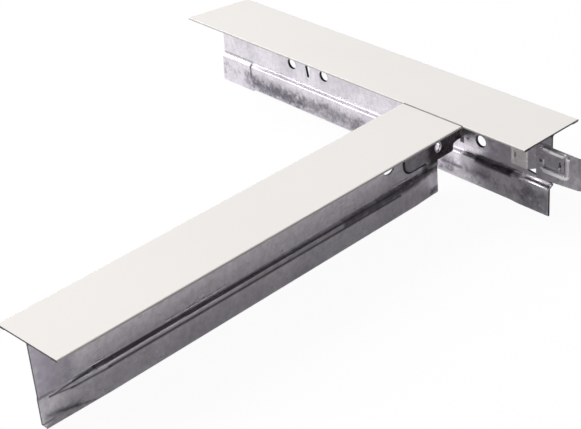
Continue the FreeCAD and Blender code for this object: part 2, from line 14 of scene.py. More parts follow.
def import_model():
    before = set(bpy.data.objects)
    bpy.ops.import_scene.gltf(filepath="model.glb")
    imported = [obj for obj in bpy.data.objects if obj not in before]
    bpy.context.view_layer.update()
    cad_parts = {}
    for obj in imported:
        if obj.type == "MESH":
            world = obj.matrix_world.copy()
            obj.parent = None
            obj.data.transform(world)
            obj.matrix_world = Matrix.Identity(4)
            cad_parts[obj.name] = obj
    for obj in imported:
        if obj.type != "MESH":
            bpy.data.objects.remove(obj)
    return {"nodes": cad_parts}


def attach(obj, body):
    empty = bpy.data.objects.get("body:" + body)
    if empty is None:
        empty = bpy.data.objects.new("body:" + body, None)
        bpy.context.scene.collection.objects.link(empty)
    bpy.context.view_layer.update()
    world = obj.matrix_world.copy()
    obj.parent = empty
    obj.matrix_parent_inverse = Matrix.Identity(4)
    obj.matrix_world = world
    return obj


Colour = tuple[float, float, float]
Point = tuple[float, float, float]
Pair = tuple[float, float]
Shares = tuple[tuple[str, float], ...]
Socket = bpy.types.NodeSocket
Sockets = Mapping[str, bpy.types.NodeSocket]
Form = bmesh.types.BMesh
Faces = list[bmesh.types.BMFace]

MM = 0.001
BODY = "root"
QUARTER_TURN = math.radians(90.0)
ORIGIN: Point = (0.0, 0.0, 0.0)
ALONG_X: Point = (1.0, 0.0, 0.0)
ALONG_Y: Point = (0.0, 1.0, 0.0)
ALONG_Z: Point = (0.0, 0.0, 1.0)
WHITE: Colour = (1.0, 1.0, 1.0)
# Painted shadow in the butt joint between the caps.
BUTT_SHADOW: Colour = (0.12, 0.115, 0.11)

log = logging.getLogger("ceiling_grid_tee")


class Run(Enum):
    """Direction in which a tee was rolled, with the turn that brings it onto the pattern's X."""

    MAIN = (0.0, ALONG_X)
    CROSS = (QUARTER_TURN, ALONG_Y)

    @property
    def turn(self) -> float:
        """Turn about Z of the pattern, in radians."""
        return self.value[0]

    @property
    def axis(self) -> Point:
        """Unit vector along the tee."""
        return self.value[1]


class Slot(Enum):
    """Material slots of the record that a new piece's finish belongs to."""

    STRIP = "galvanised_strip"
    CLIP = "galvanised_clip"


class Wiring:
    """Nodes and links of one shader tree.

    Attributes:
        MIX_INPUTS: Numbers of the Mix node's inputs for its share and its two colours.
        MIX_OUTPUT: Number of its output for colours.
    """

    MIX_INPUTS = (0, 6, 7)
    MIX_OUTPUT = 2

    def __init__(self, tree: bpy.types.NodeTree) -> None:
        """Start from an empty tree."""
        self.tree = tree
        tree.nodes.clear()

    def node(
        self, kind: str, settings: Mapping[str, object] | None = None, **inputs: object
    ) -> bpy.types.Node:
        """Add a node.

        Args:
            kind: Name of the node's type, without its ShaderNode prefix.
            settings: Properties of the node itself.
            inputs: A socket to link or a value to set, by input name with spaces as underscores.

        Returns:
            The new node.
        """
        made = self.tree.nodes.new(kind if kind.startswith("Node") else f"ShaderNode{kind}")
        for name, value in (settings or {}).items():
            setattr(made, name, value)
        for name, value in inputs.items():
            self.feed(made.inputs[name.replace("_", " ")], value)
        return made

    def feed(self, socket: Socket, value: object) -> None:
        """Link another socket to this one, or set its value.

        Args:
            socket: The input.
            value: A socket, a number, a vector, or a colour without its alpha.
        """
        if isinstance(value, Socket):
            self.tree.links.new(value, socket)
        elif isinstance(value, tuple) and len(value) == 3 and socket.type == "RGBA":
            socket.default_value = (*value, 1.0)
        else:
            socket.default_value = value

    def fill(self, made: bpy.types.Node, values: Sequence[object]) -> Socket:
        """Feed a node's first inputs in their order.

        Args:
            made: The node.
            values: A socket to link or a value to set, one for each input.

        Returns:
            The node's first output.
        """
        for index, value in enumerate(values):
            self.feed(made.inputs[index], value)
        return made.outputs[0]

    def math(self, operation: str, *values: object, clamp: bool = False) -> Socket:
        """Work out one number from others."""
        made = self.node("Math", {"operation": operation, "use_clamp": clamp})
        return self.fill(made, values)

    def vector(self, operation: str, *values: object) -> Socket:
        """Work out one vector from others."""
        return self.fill(self.node("VectorMath", {"operation": operation}), values)

    def dot(self, first: object, second: object) -> Socket:
        """Work out the dot product of two vectors.

        Args:
            first: One vector.
            second: The other.

        Returns:
            The product.
        """
        made = self.node("VectorMath", {"operation": "DOT_PRODUCT"})
        self.fill(made, (first, second))
        return made.outputs["Value"]

    def parts(self, vector: object) -> tuple[Socket, ...]:
        """Split a vector into X, Y and Z."""
        return tuple(self.node("SeparateXYZ", Vector=vector).outputs)

    def noise(
        self, place: object, scale: object, detail: float, roughness: float, distortion: float = 0.0
    ) -> Socket:
        """Add a noise pattern.

        Args:
            place: Coordinates that the pattern lies on.
            scale: Grains per metre.
            detail: Number of finer layers.
            roughness: Weight of the finer layers.
            distortion: How far the grains swirl.

        Returns:
            The pattern's value.
        """
        made = self.node(
            "TexNoise", Vector=place, Scale=scale, Detail=detail, Roughness=roughness,
            Distortion=distortion,
        )
        return made.outputs["Fac"]

    def span(
        self, value: object, start: float, end: float, low: float = 0.0, high: float = 1.0
    ) -> Socket:
        """Map a stretch of values smoothly onto another.

        Args:
            value: The value to map.
            start: Value that becomes low.
            end: Value that becomes high.
            low: Result at the start and before it.
            high: Result at the end and past it.

        Returns:
            The mapped value.
        """
        made = self.node(
            "MapRange", {"interpolation_type": "SMOOTHSTEP"},
            Value=value, From_Min=start, From_Max=end, To_Min=low, To_Max=high,
        )
        return made.outputs["Result"]

    def blend(self, share: object, first: object, second: object) -> Socket:
        """Mix two colours.

        Args:
            share: Share of the second colour.
            first: The colour underneath.
            second: The colour on top.

        Returns:
            The mixed colour.
        """
        made = self.node("Mix", {"data_type": "RGBA"})
        for index, value in zip(self.MIX_INPUTS, (share, first, second)):
            self.feed(made.inputs[index], value)
        return made.outputs[self.MIX_OUTPUT]

    def weighed(self, patterns: Sockets, shares: Shares, clamp: bool = False) -> Socket:
        """Add patterns up, each times its share.

        Args:
            patterns: The patterns by name.
            shares: Name and share of each pattern, in the order in which they are added.
            clamp: Whether the sum stays between 0 and 1.

        Returns:
            The sum.
        """
        (first, first_share), *others = shares
        total = self.math("MULTIPLY", patterns[first], first_share)
        for name, share in others:
            total = self.math("MULTIPLY_ADD", patterns[name], share, total, clamp=clamp)
        return total

    def bump(self, height: Socket, strength: float, depth: float) -> Socket:
        """Turn a height into a normal."""
        made = self.node("Bump", Strength=strength, Distance=depth, Height=height)
        return made.outputs["Normal"]

    def mix_shaders(self, share: Socket, first: bpy.types.Node, second: bpy.types.Node) -> Socket:
        """Mix two shaders."""
        made = self.node("MixShader")
        return self.fill(made, (share, first.outputs[0], second.outputs[0]))


class Effects:
    """Shader node groups that several finishes share."""

    def __init__(self) -> None:
        """Build each group once."""
        self.grain = self._grain()
        self.clouds = self._clouds()
        self.shear = self._shear()
        self.sheet = self._sheet()
        self.patch = self._patch()
        self.marks = self._marks()

    @staticmethod
    def _group(
        name: str, inputs: Mapping[str, object], outputs: Sequence[str]
    ) -> tuple[Wiring, Sockets, Sockets]:
        """Make an empty group with named sockets.

        Args:
            name: The group's name.
            inputs: Default value of each input; a tuple makes a vector input.
            outputs: Names of the value outputs.

        Returns:
            The group's wiring, the sockets it is given and the sockets it fills.
        """
        tree = bpy.data.node_groups.new(name, "ShaderNodeTree")
        for label, default in inputs.items():
            kind = "NodeSocketVector" if isinstance(default, tuple) else "NodeSocketFloat"
            socket = tree.interface.new_socket(label, in_out="INPUT", socket_type=kind)
            socket.default_value = default
        for label in outputs:
            tree.interface.new_socket(label, in_out="OUTPUT", socket_type="NodeSocketFloat")
        wiring = Wiring(tree)
        given = wiring.node("NodeGroupInput").outputs
        return wiring, given, wiring.node("NodeGroupOutput").inputs

    def _grain(self) -> bpy.types.NodeTree:
        """Rolling lines drawn out along X: broad soft bands and fine streaks.

        Returns:
            The group.
        """
        inputs = {"Vector": ORIGIN, "Along": 30.0, "Across": 900.0}
        wiring, given, out = self._group("rolling_grain", inputs, ("Bands", "Streaks"))
        across = given["Across"]
        stretch = wiring.node("CombineXYZ", X=given["Along"], Y=across, Z=across)
        drawn = wiring.vector("MULTIPLY", given["Vector"], stretch.outputs[0])
        fine = wiring.noise(drawn, scale=1.0, detail=4.0, roughness=0.6)
        broad = wiring.noise(drawn, scale=0.22, detail=2.0, roughness=0.5)
        wiring.feed(out["Streaks"], wiring.span(fine, 0.3, 0.7))
        wiring.feed(out["Bands"], wiring.span(broad, 0.3, 0.7))
        return wiring.tree

    def _clouds(self) -> bpy.types.NodeTree:
        """Soft zinc clouds and the smaller blotches inside them.

        Returns:
            The group.
        """
        inputs = {"Vector": ORIGIN, "Cloud scale": 60.0, "Blotch scale": 260.0}
        wiring, given, out = self._group("zinc_clouds", inputs, ("Clouds", "Blotches"))
        pressed = wiring.vector("MULTIPLY", given["Vector"], (0.8, 1.0, 0.7))
        large, small = given["Cloud scale"], given["Blotch scale"]
        cloud = wiring.noise(pressed, large, detail=3.0, roughness=0.55, distortion=0.4)
        blotch = wiring.noise(pressed, small, detail=5.0, roughness=0.62)
        wiring.feed(out["Clouds"], wiring.span(cloud, 0.35, 0.68))
        wiring.feed(out["Blotches"], wiring.span(blotch, 0.36, 0.7))
        return wiring.tree

    def _shear(self) -> bpy.types.NodeTree:
        """Mask of the faces square to an axis past either end, such as the ends the shears leave,
        which finishes paint near-black: raw steel with painted shade.

        Returns:
            The group.
        """
        inputs = {"Vector": ORIGIN, "Axis": ALONG_X, "Low end": -1.0, "High end": 1.0}
        wiring, given, out = self._group("sheared_end", inputs, ("Mask",))
        normal = wiring.node("NewGeometry").outputs["Normal"]
        facing = wiring.math("ABSOLUTE", wiring.dot(normal, given["Axis"]))
        square = wiring.math("GREATER_THAN", facing, 0.8)
        along = wiring.parts(given["Vector"])[0]
        below = wiring.math("LESS_THAN", along, given["Low end"])
        above = wiring.math("GREATER_THAN", along, given["High end"])
        past = wiring.math("MAXIMUM", below, above)
        wiring.feed(out["Mask"], wiring.math("MULTIPLY", square, past))
        return wiring.tree

    def _sheet(self) -> bpy.types.NodeTree:
        """Mask of the walls of punched holes, which lie inside the thickness of the upright web.

        Returns:
            The group.
        """
        inputs = {"Vector": ORIGIN, "Half gauge": 0.345 * MM, "Top": -0.8 * MM, "Foot": -16.4 * MM}
        wiring, given, out = self._group("punched_wall", inputs, ("Mask",))
        _, across, height = wiring.parts(given["Vector"])
        inside = wiring.math("LESS_THAN", wiring.math("ABSOLUTE", across), given["Half gauge"])
        below = wiring.math("LESS_THAN", height, given["Top"])
        above = wiring.math("GREATER_THAN", height, given["Foot"])
        upright = wiring.math("MULTIPLY", below, above)
        wiring.feed(out["Mask"], wiring.math("MULTIPLY", inside, upright))
        return wiring.tree

    def _patch(self) -> bpy.types.NodeTree:
        """Mask of a box-shaped patch with a soft, ragged edge, which may lean along Y.

        Returns:
            The group.
        """
        inputs = {
            "Vector": ORIGIN,
            "Middle": ORIGIN,
            "Half": (1.0 * MM, 1.0 * MM, 1.0 * MM),
            "Lean": ORIGIN,
            "Edge": 1.0 * MM,
            "Ragged": 0.0,
            "Ragged scale": 420.0,
        }
        wiring, given, out = self._group("soft_patch", inputs, ("Mask",))
        ragged = wiring.noise(given["Vector"], given["Ragged scale"], detail=3.0, roughness=0.6)
        shift = wiring.math("MULTIPLY", wiring.math("SUBTRACT", ragged, 0.5), given["Ragged"])
        away = wiring.vector("SUBTRACT", given["Vector"], given["Middle"])
        climb = wiring.node("CombineXYZ", Z=wiring.dot(away, given["Lean"]))
        away = wiring.vector("ABSOLUTE", wiring.vector("SUBTRACT", away, climb.outputs[0]))
        beyond = wiring.parts(wiring.vector("SUBTRACT", away, given["Half"]))
        furthest = wiring.math("MAXIMUM", wiring.math("MAXIMUM", beyond[0], beyond[1]), beyond[2])
        faded = wiring.math("DIVIDE", wiring.math("ADD", furthest, shift), given["Edge"])
        wiring.feed(out["Mask"], wiring.span(faded, 0.5, -0.5))
        return wiring.tree

    def _marks(self) -> bpy.types.NodeTree:
        """Sparse handling marks: faint scuffs and specks of dust.

        Returns:
            The group.
        """
        inputs = {"Vector": ORIGIN, "Scuff scale": 45.0, "Speck scale": 900.0}
        wiring, given, out = self._group("handling_marks", inputs, ("Scuffs", "Specks"))
        place, broad, small = given["Vector"], given["Scuff scale"], given["Speck scale"]
        scuff = wiring.noise(place, broad, detail=6.0, roughness=0.7, distortion=1.2)
        speck = wiring.node("TexVoronoi", Vector=place, Scale=small, Randomness=1.0)
        wiring.feed(out["Scuffs"], wiring.span(scuff, 0.56, 0.74))
        wiring.feed(out["Specks"], wiring.span(speck.outputs["Distance"], 0.16, 0.05))
        return wiring.tree


@dataclass(frozen=True)
class PaintedShading:
    """Patch of painted shading on a finish, darker or duller for painted shade and lighter for
    painted highlights: a soft box in the row frame.

    Attributes:
        middle: Middle of the box, in millimetres.
        half: Half of the box's size, in millimetres.
        edge: Width of its soft edge, in millimetres.
        ragged: How far the edge wanders, in millimetres.
        strength: Share of the patch's colour inside the box.
        colour: The patch's colour.
        metal: How metallic the patch is.
        lean: Climb in Z per metre of Y.
        grain: Scale of the noise that the edge follows.
    """

    middle: Point
    half: Point
    edge: float
    ragged: float
    strength: float
    colour: Colour
    metal: float = 1.0
    lean: float = 0.0
    grain: float = 420.0

    def inputs(self) -> dict[str, object]:
        """Turn the patch into metres.

        Returns:
            Values for the inputs of the patch effect, by name.
        """
        return {
            "Middle": tuple(value * MM for value in self.middle),
            "Half": tuple(value * MM for value in self.half),
            "Lean": (0.0, self.lean, 0.0),
            "Edge": self.edge * MM,
            "Ragged": self.ragged * MM,
            "Ragged_scale": self.grain,
        }


class Coat(Wiring):
    """Wiring of one material, with the shared effects and its place on the tee."""

    def __init__(self, name: str, run: Run, effects: Effects) -> None:
        """Start an empty material.

        Args:
            name: The material's name.
            run: Direction in which its tee was rolled.
            effects: The shared effects.
        """
        self.material = bpy.data.materials.new(name)
        self.material.use_nodes = True
        super().__init__(self.material.node_tree)
        self.effects = effects
        self.where = self.node("TexCoord").outputs["Object"]
        turned = self.node("Mapping", Vector=self.where, Rotation=(0.0, 0.0, run.turn))
        self.place = turned.outputs["Vector"]

    def use(self, tree: bpy.types.NodeTree, **inputs: object) -> Sockets:
        """Place a shared effect, with X along the tee unless the inputs say otherwise.

        Args:
            tree: The effect's group.
            inputs: A socket to link or a value to set, by input name with spaces as underscores.

        Returns:
            What the effect puts out, by name.
        """
        made = self.node("Group")
        made.node_tree = tree
        for name, value in {"Vector": self.place, **inputs}.items():
            self.feed(made.inputs[name.replace("_", " ")], value)
        return dict(made.outputs.items())

    def clouds(self, scales: Pair) -> Sockets:
        """Place the zinc clouds, with the scales of the clouds and of their blotches."""
        return self.use(self.effects.clouds, Cloud_scale=scales[0], Blotch_scale=scales[1])

    def close(self, **inputs: object) -> bpy.types.Material:
        """End the material with its Principled shader.

        Args:
            inputs: What feeds the shader, by input name with spaces as underscores.

        Returns:
            The material.
        """
        shader = self.node("BsdfPrincipled", **inputs)
        self.node("OutputMaterial", Surface=shader.outputs["BSDF"])
        return self.material


@dataclass(frozen=True)
class Finish:
    """What every finish has: a name, the run of its tee and its patches of painted shading."""

    name: str
    run: Run = Run.MAIN
    painted_shading: tuple[PaintedShading, ...] = ()

    def make(self, effects: Effects) -> bpy.types.Material:
        """Build the material."""
        return self.cover(Coat(self.name, self.run, effects))

    def cover(self, coat: Coat) -> bpy.types.Material:
        """Fill an empty material."""
        raise NotImplementedError

    def paint_shading(self, coat: Coat, colour: Socket) -> tuple[Socket, object]:
        """Lay each patch of painted shading over a colour, the last one on top.

        Args:
            coat: The material so far.
            colour: The colour before its painted shading.

        Returns:
            The colour with its painted shading, and how metallic it is.
        """
        metal: object = 1.0
        for shading in self.painted_shading:
            mask = coat.use(coat.effects.patch, Vector=coat.where, **shading.inputs())["Mask"]
            share = coat.math("MULTIPLY", mask, shading.strength)
            colour = coat.blend(share, colour, shading.colour)
            if shading.metal < 1.0:
                left = coat.span(share, 0.0, 1.0, 1.0, shading.metal)
                metal = coat.math("MULTIPLY", metal, left)
        return colour, metal


@dataclass(frozen=True)
class ShearedFinish(Finish):
    """Finish of rolled stock, near-black on the ends the shears leave: raw steel there, with
    painted shade making it darker.
    """

    # Raw steel of the ends the shears leave, painted near-black as painted shade.
    cut_shade: Colour = (0.03, 0.029, 0.03)
    low_end: float = -1.0
    high_end: float = 1.0

    def ends(self, coat: Coat) -> Socket:
        """Mask the ends the shears leave."""
        ends = {"Axis": self.run.axis, "Low_end": self.low_end, "High_end": self.high_end}
        return coat.use(coat.effects.shear, **ends)["Mask"]


@dataclass(frozen=True)
class GalvanisedStrip(ShearedFinish):
    """Hot-dip galvanised strip: cloudy zinc with rolling lines, with painted shade mottled low on
    the bulb.
    """

    light: Colour = (0.83, 0.795, 0.84)
    dark: Colour = (0.50, 0.47, 0.53)
    # Painted shade: the bulb's side mottled dark, as the shaded floor beside its foot darkens its
    # reflection.
    bulb_shade: Colour = (0.16, 0.145, 0.175)
    # Raw steel of the ends and of the walls of punched holes, painted near-black and hardly
    # metallic as painted shade.
    cut_shade: Colour = (0.015, 0.014, 0.015)
    cut_metal: float = 0.1
    grain_along: float = 24.0
    grain_across: float = 620.0
    cloud_scales: Pair = (120.0, 850.0)
    tone_shares: Shares = (("Clouds", 0.36), ("Blotches", 0.34), ("Bands", 0.12))
    wear_shares: Shares = (("Clouds", 0.6), ("Streaks", 0.4))
    relief_shares: Shares = (("Streaks", 0.12), ("Bands", 0.3), ("Clouds", 0.8), ("Blotches", 0.25))
    relief_depth: float = 0.2 * MM
    bulb_shade_top: float = -19.0 * MM
    bulb_shade_foot: float = -26.6 * MM
    bulb_shade_top_fade: float = 3.0 * MM
    bulb_shade_foot_fade: float = 1.5 * MM
    bulb_shade_share: float = 0.9
    spot_scales: Pair = (75.0, 520.0)
    speck_scales: Pair = (1100.0, 2300.0)
    spot_shares: Shares = (("Clouds", 1.0), ("Blotches", 0.6), ("Specks", 0.5))
    spot_span: Pair = (0.25, 1.75)
    smooth: float = 0.22
    rough: float = 0.42
    bump: float = 0.4

    def cover(self, coat: Coat) -> bpy.types.Material:
        """Cloud the zinc, paint mottled shade low on its bulb and lay its painted shading over it,
        and paint the ends the shears leave and the walls of punched holes near-black, as raw steel
        with painted shade.

        Args:
            coat: The empty material.

        Returns:
            The material.
        """
        effects = coat.effects
        grain = coat.use(effects.grain, Along=self.grain_along, Across=self.grain_across)
        patterns = {**coat.clouds(self.cloud_scales), **grain}
        # Ends and hole walls get the near-black painted shade.
        cut_shade = coat.math("MAXIMUM", self.ends(coat), coat.use(effects.sheet)["Mask"])
        tone = coat.weighed(patterns, self.tone_shares, clamp=True)
        zinc = coat.blend(tone, self.light, self.dark)
        zinc = coat.blend(self._bulb_shaded(coat), zinc, self.bulb_shade)
        zinc, metal = self.paint_shading(coat, zinc)
        uncut = coat.span(cut_shade, 0.0, 1.0, 1.0, self.cut_metal)
        worn = coat.math("MAXIMUM", coat.weighed(patterns, self.wear_shares), cut_shade)
        relief = coat.weighed(patterns, self.relief_shares)
        return coat.close(
            Base_Color=coat.blend(cut_shade, zinc, self.cut_shade),
            Metallic=coat.math("MULTIPLY", metal, uncut),
            Roughness=coat.span(worn, 0.0, 1.0, self.smooth, self.rough),
            Normal=coat.bump(relief, self.bump, self.relief_depth),
        )

    def _bulb_shaded(self, coat: Coat) -> Socket:
        """Paint mottled shade on the bulb between its shoulder and its foot.

        Args:
            coat: The material so far.

        Returns:
            The share of painted shade.
        """
        height = coat.parts(coat.place)[2]
        top = coat.span(height, self.bulb_shade_top, self.bulb_shade_top - self.bulb_shade_top_fade)
        foot = coat.span(height, self.bulb_shade_foot, self.bulb_shade_foot + self.bulb_shade_foot_fade)
        specks = coat.clouds(self.speck_scales)["Clouds"]
        patterns = {**coat.clouds(self.spot_scales), "Specks": specks}
        mottled = coat.span(coat.weighed(patterns, self.spot_shares), *self.spot_span)
        shaded_mottle = coat.math("MULTIPLY", mottled, coat.math("MULTIPLY", top, foot))
        return coat.math("MULTIPLY", shaded_mottle, self.bulb_shade_share)


@dataclass(frozen=True)
class CapPaint(ShearedFinish):
    """Satin coil coating of the visible face, with painted shade on its folded edge below the face,
    and near-black on the ends the shears leave: raw steel with painted shade.
    """

    paint: Colour = (0.812, 0.783, 0.758)
    shade: Colour = (0.792, 0.763, 0.738)
    # Painted shade: the folded edge below the face is darker than the face.
    hem_shade: Colour = (0.46, 0.445, 0.43)
    hem_shade_start: float = -0.08 * MM
    hem_shade_full: float = -0.22 * MM
    cloud_scales: Pair = (22.0, 1400.0)
    cloud_share: float = 0.5
    speck_share: float = 0.25
    gloss: float = 0.20
    smooth: float = 0.50
    rough: float = 0.62
    bump: float = 0.12
    relief_depth: float = 0.03 * MM

    def cover(self, coat: Coat) -> bpy.types.Material:
        """Shade the paint with clouds and specks, paint shade on its folded edge, lay its painted
        shading over it, and paint its ends near-black as raw steel with painted shade.

        Args:
            coat: The empty material.

        Returns:
            The material.
        """
        marks = coat.use(coat.effects.marks)
        clouds = coat.clouds(self.cloud_scales)
        shaded = coat.math("MULTIPLY", clouds["Clouds"], self.cloud_share)
        specked = coat.math("MULTIPLY", marks["Specks"], self.speck_share)
        hem_shaded = coat.span(coat.parts(coat.place)[2], self.hem_shade_start, self.hem_shade_full)
        paint = coat.blend(shaded, self.paint, self.shade)
        paint = coat.blend(specked, paint, self.shade)
        paint = coat.blend(hem_shaded, paint, self.hem_shade)
        paint = self.paint_shading(coat, paint)[0]
        return coat.close(
            Base_Color=coat.blend(self.ends(coat), paint, self.cut_shade),
            Roughness=coat.span(marks["Scuffs"], 0.0, 1.0, self.smooth, self.rough),
            Specular_IOR_Level=self.gloss,
            Normal=coat.bump(clouds["Blotches"], self.bump, self.relief_depth),
        )


@dataclass(frozen=True)
class ClipSteel(Finish):
    """Duller galvanised plate of the clips, blotched by pressing."""

    light: Colour = (0.70, 0.67, 0.71)
    dark: Colour = (0.36, 0.34, 0.38)
    smooth: float = 0.24
    rough: float = 0.46
    bump: float = 0.3
    relief_depth: float = 0.1 * MM
    cloud_scales: Pair = (170.0, 800.0)
    tone_shares: Shares = (("Clouds", 0.4), ("Blotches", 0.45))

    def cover(self, coat: Coat) -> bpy.types.Material:
        """Cloud the steel and lay its painted shading over it.

        Args:
            coat: The empty material.

        Returns:
            The material.
        """
        clouds = coat.clouds(self.cloud_scales)
        tone = coat.weighed(clouds, self.tone_shares, clamp=True)
        steel, metal = self.paint_shading(coat, coat.blend(tone, self.light, self.dark))
        return coat.close(
            Base_Color=steel,
            Metallic=metal,
            Roughness=coat.span(clouds["Clouds"], 0.0, 1.0, self.smooth, self.rough),
            Normal=coat.bump(clouds["Blotches"], self.bump, self.relief_depth),
        )


@dataclass(frozen=True)
class RolledZinc(ClipSteel):
    """Bright zinc on the crests that the rolls pressed smooth."""

    light: Colour = (0.92, 0.89, 0.92)
    dark: Colour = (0.72, 0.70, 0.73)
    smooth: float = 0.16
    rough: float = 0.28
    bump: float = 0.04


@dataclass(frozen=True)
class Lamp:
    """Soft rectangular lamp, its sizes in metres."""

    name: str
    place: Point
    width: float
    height: float
    watts: float

    def hang(self, aim: Point) -> None:
        """Hang the lamp so that it faces a point.

        Args:
            aim: The point.
        """
        data = bpy.data.lights.new(self.name, "AREA")
        data.energy = self.watts
        data.shape = "RECTANGLE"
        data.size = self.width
        data.size_y = self.height
        lamp = bpy.data.objects.new(self.name, data)
        turn = (Vector(aim) - Vector(self.place)).to_track_quat("-Z", "Y").to_matrix().to_4x4()
        lamp.matrix_world = Matrix.Translation(self.place) @ turn
        bpy.context.collection.objects.link(lamp)


@dataclass
class Studio:
    """Pale floor, soft lamps and the camera at the photograph's viewing angle."""

    floor_drop: float = 28.0 * MM
    floor_reach: float = 3.0
    floor_colour: Colour = (0.90, 0.90, 0.90)
    floor_seen: float = 0.95
    floor_mirrored: float = 0.05
    sky_seen: float = 1.0
    sky_mirrored: float = 0.03
    sky_side: Point = (-0.50, -0.42, 0.757)
    sky_turning: Pair = (-0.15, 0.65)
    sky_dim: float = 0.10
    sky_bright: float = 0.34
    lamp_aim: Point = (0.0, -0.06, -0.01)
    lamps: tuple[Lamp, ...] = (
        Lamp("lamp_key", (-1.36, -0.42, 1.56), 1.80, 1.80, 48.0),
        Lamp("lamp_strip", (-1.05, -1.454, 0.966), 0.50, 1.45, 12.0),
    )
    lens: float = 82.065
    sensor_width: float = 36.0
    clip_start: float = 0.01
    eye: Point = (0.24194, -0.26957, 0.19127)
    azimuth: float = 0.8837309
    elevation: float = 0.5635606
    roll: float = -0.1061284

    def build(self) -> None:
        """Make the floor, the world, the lamps and the camera."""
        self._floor()
        self._world()
        for lamp in self.lamps:
            lamp.hang(self.lamp_aim)
        self._camera()
        bpy.context.scene.view_settings.view_transform = "Standard"

    def _floor(self) -> None:
        """A white sheet that keeps the object's soft shadow."""
        mesh = bpy.data.meshes.new("studio_floor")
        sheet = bmesh.new()
        bmesh.ops.create_grid(sheet, x_segments=1, y_segments=1, size=self.floor_reach)
        bmesh.ops.translate(sheet, vec=(0.0, 0.0, -self.floor_drop), verts=sheet.verts)
        sheet.to_mesh(mesh)
        sheet.free()
        floor = bpy.data.objects.new("studio_floor", mesh)
        bpy.context.collection.objects.link(floor)
        material = bpy.data.materials.new("floor_paper")
        material.use_nodes = True
        wiring = Wiring(material.node_tree)
        paper = wiring.node("BsdfDiffuse", Color=self.floor_colour)
        glow = wiring.node("Emission", Color=WHITE, Strength=1.0)
        share = self._share(wiring, self.floor_seen, self.floor_mirrored)
        wiring.node("OutputMaterial", Surface=wiring.mix_shaders(share, paper, glow))
        mesh.materials.append(material)

    def _world(self) -> None:
        """Soft light from one side, as in a photographer's tent, that the camera sees as white."""
        world = bpy.data.worlds.new("studio_world")
        world.use_nodes = True
        bpy.context.scene.world = world
        wiring = Wiring(world.node_tree)
        way = wiring.node("TexCoord").outputs["Generated"]
        lean = wiring.dot(way, self.sky_side)
        level = wiring.span(lean, *self.sky_turning, self.sky_dim, self.sky_bright)
        dim = wiring.node("Background", Color=WHITE, Strength=level)
        white = wiring.node("Background", Color=WHITE, Strength=1.0)
        share = self._share(wiring, self.sky_seen, self.sky_mirrored)
        wiring.node("OutputWorld", Surface=wiring.mix_shaders(share, dim, white))

    @staticmethod
    def _share(wiring: Wiring, seen: float, mirrored: float) -> Socket:
        """Work out how white a surround is.

        Args:
            wiring: The surround's wiring.
            seen: White share for rays straight from the camera or through glass.
            mirrored: White share for rays that metal mirrors.

        Returns:
            The white share.
        """
        path = wiring.node("LightPath").outputs
        straight = wiring.math("MAXIMUM", path["Is Camera Ray"], path["Is Transmission Ray"])
        glossy = wiring.math("MULTIPLY", path["Is Glossy Ray"], mirrored)
        return wiring.math("MULTIPLY_ADD", straight, seen, glossy)

    def _camera(self) -> None:
        """Set the camera where the photograph was taken."""
        back = Vector((
            math.sin(self.azimuth) * math.cos(self.elevation),
            -math.cos(self.azimuth) * math.cos(self.elevation),
            math.sin(self.elevation),
        ))
        right = (-back).cross(Vector(ALONG_Z)).normalized()
        up = right.cross(-back)
        tilted_right = right * math.cos(self.roll) + up * math.sin(self.roll)
        tilted_up = up * math.cos(self.roll) - right * math.sin(self.roll)
        turn = Matrix((tilted_right, tilted_up, back)).transposed().to_4x4()
        data = bpy.data.cameras.new("camera")
        data.lens = self.lens
        data.sensor_width = self.sensor_width
        data.sensor_fit = "HORIZONTAL"
        data.clip_start = self.clip_start
        camera = bpy.data.objects.new("camera", data)
        camera.matrix_world = Matrix.Translation(self.eye) @ turn
        bpy.context.collection.objects.link(camera)
        bpy.context.scene.camera = camera


